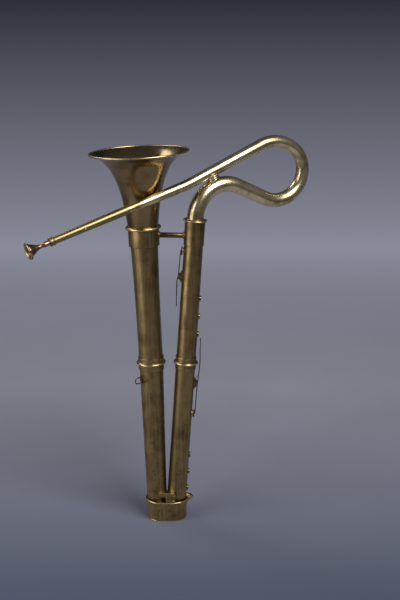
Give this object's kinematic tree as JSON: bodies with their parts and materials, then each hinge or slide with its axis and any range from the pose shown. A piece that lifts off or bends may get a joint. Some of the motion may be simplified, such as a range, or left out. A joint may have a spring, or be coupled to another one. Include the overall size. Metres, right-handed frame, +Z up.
{
  "type": "serpent bass horn",
  "caption": "All-brass V-shaped bass horn of the serpent family, with a flared bell, looped crook, cup mouthpiece, finger holes and sprung keys, standing on its oval butt.",
  "frame": {"origin": "centre of the flat underside of the butt's base plate, on which the horn stands", "axes": "+Z up along the V; +X from the bell's limb to the limb with the finger holes; -Y towards the side on which the mouthpiece lies"},
  "size_m": [0.6107, 0.3438, 0.8889],
  "materials": {
    "dull_brass": "dull, brown patina",
    "bright_brass": "polished",
    "dark_brass": "darkened",
    "spring_steel": "blued",
    "pad_leather": "matt"
  },
  "bodies": {
    "horn_body": {"butt_base_plate": "dull_brass", "butt_wall": "dull_brass", "butt_top_plate": "dull_brass", "butt_spigot_wide": "dull_brass", "butt_spigot_narrow": "dull_brass", "butt_collar": "dull_brass", "butt_collar_screw_left": "dark_brass", "butt_collar_screw_right": "dark_brass", "butt_bracket": "dull_brass", "butt_bracket_screw": "bright_brass", "wide_lower_limb": "dull_brass", "wide_middle_ferrule": "bright_brass", "wide_upper_limb": "dull_brass", "bell_ferrule": "bright_brass", "bell": "dull_brass", "bell_rim_wire": "bright_brass", "strap_eye": "dull_brass", "strap_ring": "dark_brass", "narrow_lower_limb": "dull_brass", "narrow_middle_ferrule": "bright_brass", "narrow_upper_limb": "dull_brass", "crook_socket_ferrule": "bright_brass", "finger_hole_bush_1": "dull_brass", "finger_hole_bush_2": "dull_brass", "finger_hole_bush_3": "dull_brass", "finger_hole_bush_4": "dull_brass", "finger_hole_bush_5": "dull_brass", "finger_hole_bush_6": "dull_brass", "brace_rod": "dull_brass", "brace_flange_wide": "dull_brass", "brace_flange_narrow": "dull_brass", "thumb_key_saddle": "dull_brass", "thumb_key_pin": "dark_brass", "thumb_key_spring": "spring_steel", "thumb_key_seat": "bright_brass", "finger_key_saddle": "dull_brass", "finger_key_pin": "dark_brass", "finger_key_spring": "spring_steel", "finger_key_seat": "bright_brass"},
    "thumb_key": {"thumb_key_lever": "bright_brass", "thumb_key_pad": "pad_leather"},
    "finger_key": {"finger_key_lever": "bright_brass", "finger_key_pad": "pad_leather"},
    "crook": {"crook_tube": "bright_brass", "crook_stay": "bright_brass", "crook_stud": "bright_brass", "mouthpiece_receiver": "bright_brass"},
    "mouthpiece": {"mouthpiece": "bright_brass"}
  },
  "joints": [
    {"name": "thumb_key", "type": "hinge", "parent": "horn_body", "child": "thumb_key", "pos_m": [0.03169, 0, 0.58679], "axis": [0, -1, 0], "range_deg": [0, 4.5], "stiffness_Nm_per_rad": 0.4, "springref_deg": -8.59, "deforming": ["thumb_key_spring"]},
    {"name": "finger_key", "type": "hinge", "parent": "horn_body", "child": "finger_key", "pos_m": [0.06983, 0, 0.33392], "axis": [0, -1, 0], "range_deg": [0, 2.8], "stiffness_Nm_per_rad": 0.5, "springref_deg": -9.17, "deforming": ["finger_key_spring"]},
    {"name": "crook_turn", "type": "hinge", "parent": "horn_body", "child": "crook", "pos_m": [0.06773, 0, 0.71396], "axis": [0.067, 0, 0.9978], "range_deg": [0, 40]},
    {"name": "mouthpiece_pull", "type": "slide", "parent": "crook", "child": "mouthpiece", "axis": [-0.8385, -0.4624, -0.2881], "range_m": [0, 0.018]}
  ]
}
